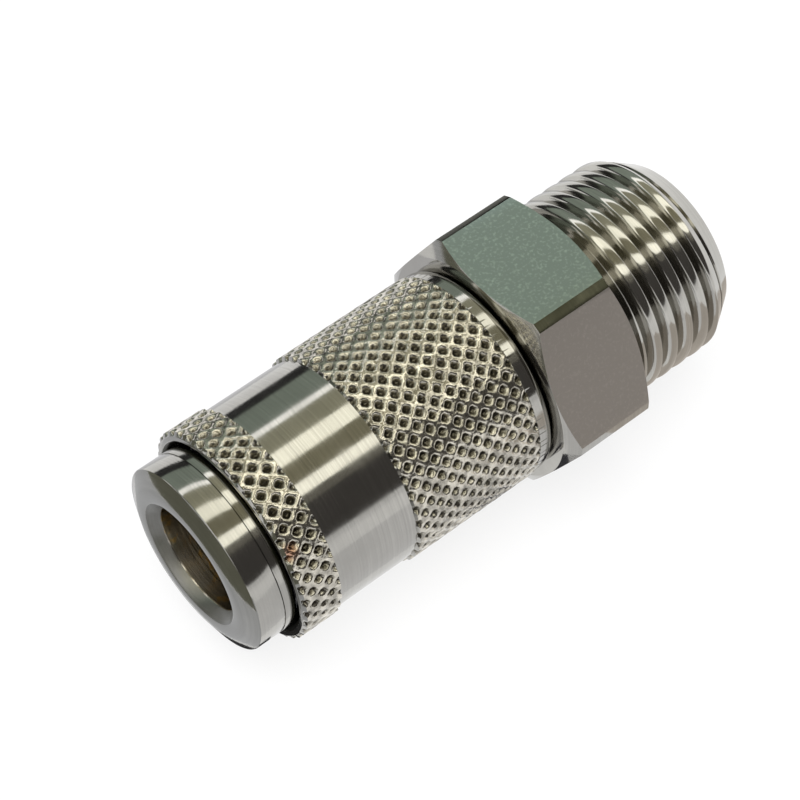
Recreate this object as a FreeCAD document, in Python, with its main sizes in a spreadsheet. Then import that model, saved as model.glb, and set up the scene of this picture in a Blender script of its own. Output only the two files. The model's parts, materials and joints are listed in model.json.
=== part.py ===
import FreeCAD, Part
import math
import os
import Sketcher

# Miniature pneumatic quick coupling with a G1/8 male thread.
# The axis is X: the nose is at -X, the thread at +X, and two hex flats face up and down.
# The origin is on the axis at the rear face of the hex, where the thread starts.
# Places along the axis are written as stations, counted from the front of the nose.

os.makedirs("parts", exist_ok=True)
doc = FreeCAD.newDocument("quick_coupling")
sizes = doc.addObject("Spreadsheet::Sheet", "Sizes")
size_rows = {}


def size(alias, millimetres):
    """Put one driving size in the sheet and return the reference that expressions use."""
    row = len(size_rows) + 1
    size_rows[alias] = row
    sizes.set(f"A{row}", alias)
    sizes.set(f"B{row}", str(millimetres))
    sizes.setAlias(f"B{row}", alias)
    return f"Sizes.{alias}"


# Nose, as seen at the mouth
nose_diameter = size("nose_diameter", 8.8)
nose_face_diameter = size("nose_face_diameter", 7.0)
nose_cone_length = size("nose_cone_length", 0.35)
nose_head_length = size("nose_head_length", 1.6)
mouth_diameter = size("mouth_diameter", 5.9)
mouth_depth = size("mouth_depth", 0.45)
plug_bore_diameter = size("plug_bore_diameter", 5.0)
guide_relief = size("guide_relief", 0.2)
tip_bore_diameter = size("tip_bore_diameter", 4.6)
barrel_diameter = size("barrel_diameter", 6.9)
ring_width = size("ring_width", 0.55)
ring_edge = size("ring_edge", 0.08)

# Sleeve
nose_protrusion = size("nose_protrusion", 2.1)
sleeve_length = size("sleeve_length", 13.5)
front_knurl_diameter = size("front_knurl_diameter", 10.12)
front_knurl_length = size("front_knurl_length", 1.95)
grip_diameter = size("grip_diameter", 9.81)
grip_length = size("grip_length", 4.04)
rear_knurl_diameter = size("rear_knurl_diameter", 10.14)
rear_knurl_length = size("rear_knurl_length", 6.71)
rear_ring_diameter = size("rear_ring_diameter", 10.02)
knurl_edge = size("knurl_edge", 0.06)
knurl_depth = size("knurl_depth", 0.2)
knurl_backing = size("knurl_backing", 0.05)
knurl_front_edge = size("knurl_front_edge", 0.12)
sleeve_front_edge = size("sleeve_front_edge", 0.2)
sleeve_mouth_edge = size("sleeve_mouth_edge", 0.17)
sleeve_rear_round = size("sleeve_rear_round", 0.4)
release_travel = size("release_travel", 2.0)
ROUND_SHARE = 0.8
KNURL_STARTS = 40
FRONT_KNURL_ROWS = 4
REAR_KNURL_ROWS = 16

# Hex and thread
hex_flats = size("hex_flats", 11.0)
hex_length = size("hex_length", 4.65)
hex_corner_trim = size("hex_corner_trim", 0.13)
hex_chamfer_slope = size("hex_chamfer_slope", 0.577)
thread_diameter = size("thread_diameter", 9.728)
thread_length = size("thread_length", 6.35)
thread_end_diameter = size("thread_end_diameter", 7.9)
thread_lead_length = size("thread_lead_length", 1.38)
relief_width = size("relief_width", 0.6)
relief_depth = size("relief_depth", 0.58)
passage_diameter = size("passage_diameter", 3.4)
passage_edge = size("passage_edge", 0.5)

# Ball lock
ball_diameter = size("ball_diameter", 1.5)
ball_station = size("ball_station", 7.3)
ball_bite = size("ball_bite", 0.27)
ball_play = size("ball_play", 0.03)
ball_hole_play = size("ball_hole_play", 0.05)
guide_setback = size("guide_setback", 0.2)
ball_lip = size("ball_lip", 0.08)
ball_lip_drop = size("ball_lip_drop", 0.15)
lock_taper = size("lock_taper", 0.2)
land_lead = size("land_lead", 0.5)
land_tail = size("land_tail", 0.35)
rear_bore_step = size("rear_bore_step", 0.05)
BALL_COUNT = 6

# Joint between the barrel and the hex adapter
spigot_gap = size("spigot_gap", 0.25)
tail_wall = size("tail_wall", 0.5)
tail_length = size("tail_length", 1.9)
thread_play = size("thread_play", 0.03)

# Valve
chamber_gap = size("chamber_gap", 0.28)
chamber_rear_web = size("chamber_rear_web", 1.0)
seat_gap_around_tube = size("seat_gap_around_tube", 0.2)
seat_length = size("seat_length", 0.8)
seat_cone = size("seat_cone", 0.65)
valve_travel = size("valve_travel", 2.0)
valve_tube_reach = size("valve_tube_reach", 0.1)
valve_tube_diameter = size("valve_tube_diameter", 3.5)
valve_tube_bore = size("valve_tube_bore", 2.2)
valve_tube_edge = size("valve_tube_edge", 0.15)
valve_flange_cover = size("valve_flange_cover", 0.23)
valve_flange_length = size("valve_flange_length", 0.95)
valve_bore_end = size("valve_bore_end", 0.45)
valve_stem_diameter = size("valve_stem_diameter", 3.0)
valve_stem_length = size("valve_stem_length", 2.5)
valve_stem_edge = size("valve_stem_edge", 0.3)
fin_width = size("fin_width", 1.0)
port_diameter = size("port_diameter", 1.1)
port_setback = size("port_setback", 1.3)
FIN_COUNT = 3
PORT_PAIRS = 2

# Seals and springs
plug_seal_section = size("plug_seal_section", 0.9)
plug_seal_lead = size("plug_seal_lead", 1.8)
plug_seal_squeeze = size("plug_seal_squeeze", 0.35)
seal_play = size("seal_play", 0.02)
groove_play = size("groove_play", 0.1)
valve_seal_section = size("valve_seal_section", 0.7)
sleeve_spring_wire = size("sleeve_spring_wire", 0.4)
valve_spring_wire = size("valve_spring_wire", 0.35)
valve_spring_diameter = size("valve_spring_diameter", 4.2)
SLEEVE_SPRING_TURNS = 5
VALVE_SPRING_TURNS = 7
CLOSED_TURNS = 0.75
CLOSED_SPACING = 1.15
STEPS_PER_TURN = 12
RING_SIDES = 8

# Running clearances
guide_play = size("guide_play", 0.08)
stop_gap = size("stop_gap", 0.05)
seat_gap = size("seat_gap", 0.02)
doc.recompute()

# Radii that several pieces share
nose_radius = f"{nose_diameter} / 2"
bore_radius = f"{plug_bore_diameter} / 2"
relieved_bore_radius = f"({bore_radius} + {guide_relief})"
tip_bore_radius = f"{tip_bore_diameter} / 2"
barrel_radius = f"{barrel_diameter} / 2"
ball_radius = f"{ball_diameter} / 2"
tube_radius = f"{valve_tube_diameter} / 2"
seat_radius = f"({tube_radius} + {seat_gap_around_tube})"
seat_cone_radius = f"({seat_radius} + {seat_cone})"
tail_radius = f"({seat_cone_radius} + {tail_wall})"
valve_seal_radius = f"({tube_radius} + {valve_seal_section} / 2 + {seal_play})"
flange_radius = f"({valve_seal_radius} + {valve_flange_cover})"
chamber_radius = f"({valve_seal_radius} + {valve_seal_section} / 2 + {chamber_gap})"
passage_radius = f"{passage_diameter} / 2"
thread_radius = f"{thread_diameter} / 2"
hex_apothem = f"{hex_flats} / 2"
hex_corner_radius = f"{hex_apothem} / cos(30 deg) - {hex_corner_trim}"
spring_bore_radius = f"{nose_radius} + {guide_play}"

# The circle of the balls' middles, and the taper that holds the balls in at every place of the sleeve
ball_orbit = f"({bore_radius} - {ball_bite} + {ball_radius})"
taper_at_ball = f"({ball_orbit} + ({ball_radius} + {ball_play}) * sqrt(1 + {lock_taper} ^ 2))"
land_front_radius = f"({taper_at_ball} - {lock_taper} * {land_lead})"
land_rear_radius = f"({taper_at_ball} + {lock_taper} * ({release_travel} + {land_tail}))"
rear_bore_radius = f"({land_rear_radius} + {rear_bore_step})"
spigot_radius = f"({rear_bore_radius} - {guide_play})"

# Stations along the axis
ring_front = f"({nose_head_length} + {seat_gap})"
ring_rear = f"({ring_front} + {ring_width})"
sleeve_rear = f"({nose_protrusion} + {sleeve_length})"
grip_front = f"({nose_protrusion} + {front_knurl_length})"
grip_rear = f"({grip_front} + {grip_length})"
knurl_rear = f"({grip_rear} + {rear_knurl_length})"
front_net_front = f"({nose_protrusion} + {knurl_front_edge})"
front_net_rear = f"({grip_front} - {knurl_edge})"
rear_net_front = f"({grip_rear} + {knurl_edge})"
rear_net_rear = f"({knurl_rear} - {knurl_edge})"
land_front = f"({ball_station} - {land_lead})"
land_rear = f"({ball_station} + {release_travel} + {land_tail})"
hex_front = f"({sleeve_rear} + {stop_gap})"
hex_rear = f"({hex_front} + {hex_length})"
thread_end = f"({hex_rear} + {thread_length})"
spigot_front = f"({land_rear} + {spigot_gap})"
tail_end = f"({spigot_front} + {tail_length})"
seat_cone_front = f"({tail_end} - {seat_cone})"
seat_front = f"({seat_cone_front} - {seat_length})"
guide_end = f"({ball_station} - {ball_radius} - {guide_setback})"
tip_bore_front = f"({ball_station} + {ball_radius} + {guide_setback})"
plug_seal_station = f"({ball_station} + {plug_seal_lead})"
chamber_front = f"({tail_end} + {seat_gap})"
chamber_rear = f"({hex_rear} - {chamber_rear_web})"

# Valve seal: it lies on the tube and against the seat's cone, which has a slope of 45 degrees
valve_seal_station = (
    f"({seat_cone_front} + {valve_seal_radius} - {seat_radius}"
    f" + ({valve_seal_section} / 2 + {seal_play}) * sqrt(2))"
)
flange_front = f"({valve_seal_station} + {valve_seal_section} / 2 + {seal_play})"
flange_rear = f"({flange_front} + {valve_flange_length})"
tube_front = f"({seat_front} - {valve_travel} - {valve_tube_reach})"
stem_rear = f"({flange_rear} + {valve_stem_length})"


def value(expression):
    """The number that an expression has with the sheet's sizes."""
    found = sizes.evalExpression(expression)
    return float(getattr(found, "Value", found))


def origin_feature(body, role):
    return next(item for item in body.Origin.OriginFeatures if item.Role == role)


def new_body(name):
    """A body whose own X runs along the axis from the front of the nose."""
    body = doc.addObject("PartDesign::Body", name)
    body.Label = name
    body.setExpression("Placement.Base.x", f"-{hex_rear}")
    return body


def new_sketch(body, name, role, offset=None):
    sketch = body.newObject("Sketcher::SketchObject", name)
    sketch.AttachmentSupport = [(origin_feature(body, role), "")]
    sketch.MapMode = "FlatFace"
    if offset:
        sketch.setExpression("AttachmentOffset.Base.z", offset)
    return sketch


def hold_point(sketch, geometry, point, across, up):
    """Tie one point of a sketch to its two coordinates."""
    for kind, expression in (("DistanceX", across), ("DistanceY", up)):
        constraint = Sketcher.Constraint(kind, -1, 1, geometry, point, value(expression))
        index = sketch.addConstraint(constraint)
        sketch.setExpression(f"Constraints[{index}]", expression)


def outline(body, name, role, corners, offset=None):
    """A closed outline through the given corners, each a pair of expressions."""
    sketch = new_sketch(body, name, role, offset)
    places = [FreeCAD.Vector(value(across), value(up), 0) for across, up in corners]
    count = len(places)
    for index, place in enumerate(places):
        sketch.addGeometry(Part.LineSegment(place, places[(index + 1) % count]), False)
    for index in range(count):
        sketch.addConstraint(Sketcher.Constraint("Coincident", index, 2, (index + 1) % count, 1))
    for index, (across, up) in enumerate(corners):
        hold_point(sketch, index, 1, across, up)
    return sketch


def turned(body, name, corners):
    """A turned form: an outline of stations and radii, revolved about the axis."""
    sketch = outline(body, name + "_profile", "XZ_Plane", corners)
    feature = body.newObject("PartDesign::Revolution", name)
    feature.Profile = sketch
    feature.ReferenceAxis = (sketch, ["H_Axis"])
    feature.Angle = 360
    sketch.Visibility = False
    body.Tip = feature
    doc.recompute()
    return feature


def turned_groove(body, name, corners):
    """A groove turned into the body about its axis."""
    before = body.Shape.Volume
    sketch = outline(body, name + "_profile", "XZ_Plane", corners)
    feature = body.newObject("PartDesign::Groove", name)
    feature.Profile = sketch
    feature.ReferenceAxis = (sketch, ["H_Axis"])
    feature.Angle = 360
    body.Tip = feature
    doc.recompute()
    must_shrink(body, before, name)
    return feature


def around_axis(body, name, feature, count, angle=360):
    """Copies of a feature around the axis."""
    before = body.Shape.Volume
    pattern = body.newObject("PartDesign::PolarPattern", name)
    pattern.Originals = [feature]
    pattern.Axis = (origin_feature(body, "X_Axis"), [""])
    pattern.Angle = angle
    pattern.Occurrences = count
    body.Tip = pattern
    doc.recompute()
    if abs(body.Shape.Volume - before) < 1e-6:
        raise RuntimeError(f"{name} repeats nothing")
    return pattern


def must_shrink(body, before, name):
    if body.Shape.Volume > before - 1e-6:
        raise RuntimeError(f"{name} cuts nothing")


def ball_angle(index):
    """Angle of a ball around the axis, in degrees from +Y towards +Z."""
    return 90 + index * 360 / BALL_COUNT


# Nose body: head, barrel and screwed tail in one turned piece
nose_body = new_body("nose_body")
turned(nose_body, "nose_turning", [
    (mouth_depth, bore_radius),
    ("0", f"{mouth_diameter} / 2"),
    ("0", f"{nose_face_diameter} / 2"),
    (nose_cone_length, nose_radius),
    (nose_head_length, nose_radius),
    (nose_head_length, barrel_radius),
    (spigot_front, barrel_radius),
    (spigot_front, tail_radius),
    (tail_end, tail_radius),
    (tail_end, seat_cone_radius),
    (seat_cone_front, seat_radius),
    (seat_front, seat_radius),
    (seat_front, tip_bore_radius),
    (tip_bore_front, tip_bore_radius),
    (tip_bore_front, relieved_bore_radius),
    (guide_end, relieved_bore_radius),
    (guide_end, bore_radius),
])

# Groove for the plug's seal
groove_radius = f"{tip_bore_radius} - {plug_seal_squeeze} + {plug_seal_section} + {seal_play}"
groove_half = f"({plug_seal_section} + {groove_play}) / 2"
turned_groove(nose_body, "plug_seal_groove", [
    (f"{plug_seal_station} - {groove_half}", f"{tip_bore_radius} - {groove_play}"),
    (f"{plug_seal_station} - {groove_half}", groove_radius),
    (f"{plug_seal_station} + {groove_half}", groove_radius),
    (f"{plug_seal_station} + {groove_half}", f"{tip_bore_radius} - {groove_play}"),
])

# Ball holes: drilled from outside, with a lip at the bore that keeps each ball from falling in
hole_radius = f"({ball_radius} + {ball_hole_play})"
lip_radius = f"({ball_radius} - {ball_lip})"
lip_start = f"{ball_orbit} - {ball_lip_drop}"
hole_bottom = f"{relieved_bore_radius} - {groove_play}"
hole_top = f"{barrel_radius} + {ball_radius}"
hole_corners = [
    (ball_station, hole_bottom),
    (f"{ball_station} + {lip_radius}", hole_bottom),
    (f"{ball_station} + {hole_radius}", lip_start),
    (f"{ball_station} + {hole_radius}", hole_top),
    (ball_station, hole_top),
]
solid_before = nose_body.Shape.Volume
hole_sketch = outline(nose_body, "ball_hole_profile", "XZ_Plane", hole_corners)
hole_axis = hole_sketch.addGeometry(
    Part.LineSegment(
        FreeCAD.Vector(value(ball_station), value(hole_bottom), 0),
        FreeCAD.Vector(value(ball_station), value(hole_top), 0),
    ),
    True,
)
hold_point(hole_sketch, hole_axis, 1, ball_station, hole_bottom)
hold_point(hole_sketch, hole_axis, 2, ball_station, hole_top)
ball_hole = nose_body.newObject("PartDesign::Groove", "ball_hole")
ball_hole.Profile = hole_sketch
ball_hole.ReferenceAxis = (hole_sketch, ["Axis0"])
ball_hole.Angle = 360
nose_body.Tip = ball_hole
doc.recompute()
must_shrink(nose_body, solid_before, "ball_hole")
around_axis(nose_body, "ball_holes", ball_hole, BALL_COUNT)

# Retaining ring: it lies behind the head and carries the front end of the sleeve's spring
spring_ring = new_body("spring_ring")
ring_bore = f"{barrel_radius} + {ball_hole_play}"
turned(spring_ring, "ring_turning", [
    (ring_front, ring_bore),
    (ring_front, f"{nose_radius} - {ring_edge}"),
    (f"{ring_front} + {ring_edge}", nose_radius),
    (ring_rear, nose_radius),
    (ring_rear, ring_bore),
])



def knurl_net(name, outer_radius, front, rear, rows):
    """A band with rows of four-sided pits, offset by half a pit from row to row.

    The ridges between the pits run crosswise, as a knurling roll leaves them.
    """
    ridge = value(outer_radius)
    bottom = ridge - value(knurl_depth)
    inside = bottom - 2 * value(knurl_backing)
    row_length = (value(rear) - value(front)) / rows
    half_turn_step = math.pi / KNURL_STARTS

    def place(column, row, radius):
        angle = column * half_turn_step
        return FreeCAD.Vector(row * row_length, radius * math.cos(angle), radius * math.sin(angle))

    def facet(*corners):
        return Part.Face(Part.makePolygon([*corners, corners[0]]))

    faces = []
    for row in range(rows + 1):
        for column in range(row % 2, 2 * KNURL_STARTS, 2):
            pit = place(column, row, bottom)
            sides = place(column - 1, row, ridge), place(column + 1, row, ridge)
            for next_row in (row - 1, row + 1):
                if 0 <= next_row <= rows:
                    end = place(column, next_row, ridge)
                    faces += [facet(pit, side, end) for side in sides]
    for row in (0, rows):
        columns = range(2 * KNURL_STARTS)
        rim = [place(column, row, ridge if (column + row) % 2 else bottom) for column in columns]
        centre = FreeCAD.Vector(row * row_length, 0, 0)
        hole = Part.Wire(Part.makeCircle(inside, centre, FreeCAD.Vector(1, 0, 0)))
        faces.append(Part.Face([Part.makePolygon([*rim, rim[0]]), hole], "Part::FaceMakerBullseye"))
    core = Part.makeCylinder(inside, rows * row_length, FreeCAD.Vector(), FreeCAD.Vector(1, 0, 0))
    faces += [face for face in core.Faces if isinstance(face.Surface, Part.Cylinder)]
    shell = Part.makeShell(faces)
    shell.sewShape()
    net = doc.addObject("Part::Feature", name)
    net.Shape = Part.Solid(shell)
    net.setExpression("Placement.Base.x", f"{front} - {hex_rear}")
    return net


# Sleeve: two knurled bands, a plain grip between them, and the locking taper
sleeve_blank = new_body("sleeve_blank")
front_knurl_radius = f"{front_knurl_diameter} / 2"
grip_radius = f"{grip_diameter} / 2"
rear_knurl_radius = f"{rear_knurl_diameter} / 2"
rear_ring_radius = f"{rear_ring_diameter} / 2"
# The rear edge is rounded: an arc of 90 degrees in two chords, whose middle point lies 1 - cos(45) in
rear_wall = f"({rear_ring_radius} - {rear_bore_radius})"
rear_round = f"min({sleeve_rear_round}; {rear_wall} * {ROUND_SHARE})"
round_middle = "(1 - cos(45 deg))"
front_core_radius = f"{front_knurl_radius} - {knurl_depth} - {knurl_backing}"
rear_core_radius = f"{rear_knurl_radius} - {knurl_depth} - {knurl_backing}"
turned(sleeve_blank, "sleeve_turning", [
    (nose_protrusion, f"{spring_bore_radius} + {sleeve_mouth_edge}"),
    (nose_protrusion, f"{front_knurl_radius} - {sleeve_front_edge}"),
    (front_net_front, front_knurl_radius),
    (front_net_front, front_core_radius),
    (front_net_rear, front_core_radius),
    (front_net_rear, front_knurl_radius),
    (grip_front, grip_radius),
    (grip_rear, grip_radius),
    (rear_net_front, rear_knurl_radius),
    (rear_net_front, rear_core_radius),
    (rear_net_rear, rear_core_radius),
    (rear_net_rear, rear_knurl_radius),
    (knurl_rear, rear_ring_radius),
    (f"{sleeve_rear} - {rear_round}", rear_ring_radius),
    (f"{sleeve_rear} - {rear_round} * {round_middle}", f"{rear_ring_radius} - {rear_round} * {round_middle}"),
    (sleeve_rear, f"{rear_ring_radius} - {rear_round}"),
    (sleeve_rear, rear_bore_radius),
    (land_rear, rear_bore_radius),
    (land_rear, land_rear_radius),
    (land_front, land_front_radius),
    (land_front, spring_bore_radius),
    (f"{nose_protrusion} + {sleeve_mouth_edge}", spring_bore_radius),
])
front_net = knurl_net("front_knurl", front_knurl_radius, front_net_front, front_net_rear, FRONT_KNURL_ROWS)
rear_net = knurl_net("rear_knurl", rear_knurl_radius, rear_net_front, rear_net_rear, REAR_KNURL_ROWS)
sleeve = doc.addObject("Part::MultiFuse", "sleeve")
sleeve.Label = "sleeve"
sleeve.Shapes = [sleeve_blank, front_net, rear_net]
doc.recompute()

# Hex adapter: spigot, hex and male thread, turned from hexagon bar
hex_adapter = new_body("hex_adapter")
chamfer_height = f"{hex_chamfer_slope} * ({hex_corner_radius} - {hex_apothem})"
relief_radius = f"{thread_radius} - {relief_depth}"
screw_bore_radius = f"{tail_radius} + {thread_play}"
turned(hex_adapter, "adapter_turning", [
    (f"{spigot_front} + {seat_gap}", screw_bore_radius),
    (f"{spigot_front} + {seat_gap}", spigot_radius),
    (hex_front, spigot_radius),
    (hex_front, hex_apothem),
    (f"{hex_front} + {chamfer_height}", hex_corner_radius),
    (f"{hex_rear} - {chamfer_height}", hex_corner_radius),
    (hex_rear, hex_apothem),
    (hex_rear, relief_radius),
    (f"{hex_rear} + {relief_width}", relief_radius),
    (f"{hex_rear} + {relief_width}", thread_radius),
    (f"{thread_end} - {thread_lead_length}", thread_radius),
    (thread_end, f"{thread_end_diameter} / 2"),
    (thread_end, f"{passage_radius} + {passage_edge}"),
    (f"{thread_end} - {passage_edge}", passage_radius),
    (chamber_rear, passage_radius),
    (chamber_rear, chamber_radius),
    (chamber_front, chamber_radius),
    (chamber_front, screw_bore_radius),
])

# Flats of the hex
solid_before = hex_adapter.Shape.Volume
flat_sketch = outline(hex_adapter, "hex_flat_outline", "YZ_Plane", [
    (f"-({hex_corner_radius})", hex_apothem),
    (hex_corner_radius, hex_apothem),
    (hex_corner_radius, f"{hex_corner_radius} + {hex_corner_trim}"),
    (f"-({hex_corner_radius})", f"{hex_corner_radius} + {hex_corner_trim}"),
], offset=hex_rear)
hex_flat = hex_adapter.newObject("PartDesign::Pocket", "hex_flat")
hex_flat.Profile = flat_sketch
hex_flat.Type = 0
hex_flat.setExpression("Length", hex_length)
hex_adapter.Tip = hex_flat
doc.recompute()
must_shrink(hex_adapter, solid_before, "hex_flat")
around_axis(hex_adapter, "hex_all_flats", hex_flat, 6)

# Valve piston: ported tube that the plug pushes, flange with guide fins, and the spring's stem
valve_piston = new_body("valve_piston")
tube_bore_radius = f"{valve_tube_bore} / 2"
stem_radius = f"{valve_stem_diameter} / 2"
turned(valve_piston, "piston_turning", [
    (tube_front, tube_bore_radius),
    (tube_front, f"{tube_radius} - {valve_tube_edge}"),
    (f"{tube_front} + {valve_tube_edge}", tube_radius),
    (flange_front, tube_radius),
    (flange_front, flange_radius),
    (flange_rear, flange_radius),
    (flange_rear, stem_radius),
    (f"{stem_rear} - {valve_stem_edge}", stem_radius),
    (stem_rear, f"{stem_radius} - {valve_stem_edge}"),
    (stem_rear, "0"),
    (f"{flange_front} + {valve_bore_end}", "0"),
    (f"{flange_front} + {valve_bore_end}", tube_bore_radius),
])
fin_reach = f"sqrt(({chamber_radius} - {guide_play}) ^ 2 - ({fin_width} / 2) ^ 2)"
fin_sketch = outline(valve_piston, "fin_outline", "YZ_Plane", [
    (f"-{fin_width} / 2", stem_radius),
    (f"{fin_width} / 2", stem_radius),
    (f"{fin_width} / 2", fin_reach),
    (f"-{fin_width} / 2", fin_reach),
], offset=flange_front)
fin = valve_piston.newObject("PartDesign::Pad", "fin")
fin.Profile = fin_sketch
fin.setExpression("Length", valve_flange_length)
valve_piston.Tip = fin
doc.recompute()
around_axis(valve_piston, "fins", fin, FIN_COUNT)

# Ports through the tube, one pair at a time
solid_before = valve_piston.Shape.Volume
port_sketch = new_sketch(valve_piston, "port_outline", "XZ_Plane")
port_station = f"{flange_front} - {port_setback}"
port_sketch.addGeometry(
    Part.Circle(FreeCAD.Vector(value(port_station), 0, 0), FreeCAD.Vector(0, 0, 1), value(port_diameter) / 2),
    False,
)
port_across = port_sketch.addConstraint(Sketcher.Constraint("DistanceX", -1, 1, 0, 3, value(port_station)))
port_sketch.setExpression(f"Constraints[{port_across}]", port_station)
port_sketch.addConstraint(Sketcher.Constraint("PointOnObject", 0, 3, -1))
port_round = port_sketch.addConstraint(Sketcher.Constraint("Diameter", 0, value(port_diameter)))
port_sketch.setExpression(f"Constraints[{port_round}]", port_diameter)
port = valve_piston.newObject("PartDesign::Pocket", "port")
port.Profile = port_sketch
port.Type = 0
port.Midplane = True
port.setExpression("Length", f"{valve_tube_diameter} * 2")
valve_piston.Tip = port
doc.recompute()
must_shrink(valve_piston, solid_before, "port")
around_axis(valve_piston, "ports", port, PORT_PAIRS, 180 - 180 / PORT_PAIRS)

# Locking balls, held into the bore by the sleeve's taper
balls = []
for index in range(BALL_COUNT):
    ball = doc.addObject("Part::Sphere", f"ball_{index + 1}")
    ball.Label = f"ball_{index + 1}"
    ball.setExpression("Radius", ball_radius)
    ball.setExpression("Placement.Base.x", f"{ball_station} - {hex_rear}")
    ball.setExpression("Placement.Base.y", f"{ball_orbit} * cos({ball_angle(index)} deg)")
    ball.setExpression("Placement.Base.z", f"{ball_orbit} * sin({ball_angle(index)} deg)")
    balls.append(ball)


def seal_ring(name, ring_radius, section, station):
    """A rubber ring about the axis, with eight flat sides around its round section."""
    ring = new_body(name)
    reach = f"{section} / 2 / cos({180 / RING_SIDES} deg)"
    corners = []
    for index in range(RING_SIDES):
        turn = 360 * (index + 0.5) / RING_SIDES
        corners.append((
            f"{station} + {reach} * cos({turn} deg)",
            f"{ring_radius} + {reach} * sin({turn} deg)",
        ))
    turned(ring, name + "_moulding", corners)
    return ring


plug_seal_radius = f"{tip_bore_radius} - {plug_seal_squeeze} + {plug_seal_section} / 2"
plug_seal = seal_ring("plug_seal", plug_seal_radius, plug_seal_section, plug_seal_station)
valve_seal = seal_ring("valve_seal", valve_seal_radius, valve_seal_section, valve_seal_station)


def coil_height(turn, turns, span, closed_pitch):
    """Height of the wire's middle after some turns: close at both ends and open between them."""
    closed_height = CLOSED_TURNS * closed_pitch
    if turn < CLOSED_TURNS:
        return turn * closed_pitch
    if turn > turns - CLOSED_TURNS:
        return span - (turns - turn) * closed_pitch
    open_share = (turn - CLOSED_TURNS) / (turns - 2 * CLOSED_TURNS)
    return closed_height + open_share * (span - 2 * closed_height)


def coil_spring(name, coil_radius, wire, front, rear, turns):
    """A compression spring with closed ends that are ground flat.

    The wire has eight sides, with the area of the round wire, and bends at short straight steps.
    """
    radius = value(coil_radius)
    thickness = value(wire)
    span = value(f"{rear} - {front} - 2 * {seat_gap}")
    points = []
    for step in range(-1, turns * STEPS_PER_TURN + 2):
        turn = step / STEPS_PER_TURN
        angle = 2 * math.pi * turn
        height = coil_height(turn, turns, span, thickness * CLOSED_SPACING)
        points.append(FreeCAD.Vector(radius * math.cos(angle), radius * math.sin(angle), height))
    path = Part.makePolygon(points)
    along = (points[1] - points[0]).normalize()
    outward = FreeCAD.Vector(points[0].x, points[0].y, 0)
    outward = (outward - along * outward.dot(along)).normalize()
    upward = along.cross(outward)
    side_angle = 2 * math.pi / RING_SIDES
    corner_radius = thickness * math.sqrt(math.pi / (2 * RING_SIDES * math.sin(side_angle)))
    corners = []
    for index in range(RING_SIDES + 1):
        angle = side_angle * (index + 0.5)
        corners.append(points[0] + (outward * math.cos(angle) + upward * math.sin(angle)) * corner_radius)
    coil = path.makePipeShell([Part.makePolygon(corners)], True, False, 1)
    ground_length = Part.makeCylinder(radius + thickness, span)
    spring = doc.addObject("Part::Feature", name)
    spring.Label = name
    spring.Shape = coil.common(ground_length)
    spring.Placement = FreeCAD.Placement(FreeCAD.Vector(), FreeCAD.Rotation(FreeCAD.Vector(0, 1, 0), 90))
    spring.setExpression("Placement.Base.x", f"{front} + {seat_gap} - {hex_rear}")
    return spring


sleeve_spring_radius = f"({barrel_radius} + {spring_bore_radius}) / 2"
sleeve_spring = coil_spring(
    "sleeve_spring", sleeve_spring_radius, sleeve_spring_wire, ring_rear, land_front, SLEEVE_SPRING_TURNS
)
valve_spring = coil_spring(
    "valve_spring", f"{valve_spring_diameter} / 2", valve_spring_wire, flange_rear, chamber_rear,
    VALVE_SPRING_TURNS
)
doc.recompute()

pieces = [nose_body, spring_ring, hex_adapter, sleeve, sleeve_spring]
pieces += balls
pieces += [plug_seal, valve_piston, valve_seal, valve_spring]

# Nothing is written unless every object is sound
for item in doc.Objects:
    if "Invalid" in item.State or "Error" in item.State:
        raise RuntimeError(f"{item.Name} failed: {item.State}")
for piece in pieces:
    if piece.Shape.isNull() or not piece.Shape.isValid():
        raise RuntimeError(f"{piece.Label} has no sound shape")
    if len(piece.Shape.Solids) != 1:
        raise RuntimeError(f"{piece.Label} is {len(piece.Shape.Solids)} solids")
for piece in pieces:
    piece.Shape.exportStep(f"parts/{piece.Label}.step")
    print(f"{piece.Label}: {piece.Shape.Volume:.3f} mm3")
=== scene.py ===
import json
import math
from types import SimpleNamespace

import bmesh
import bpy
from bpy.props import FloatProperty, FloatVectorProperty, IntProperty, PointerProperty
from mathutils import Matrix, Vector

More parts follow.
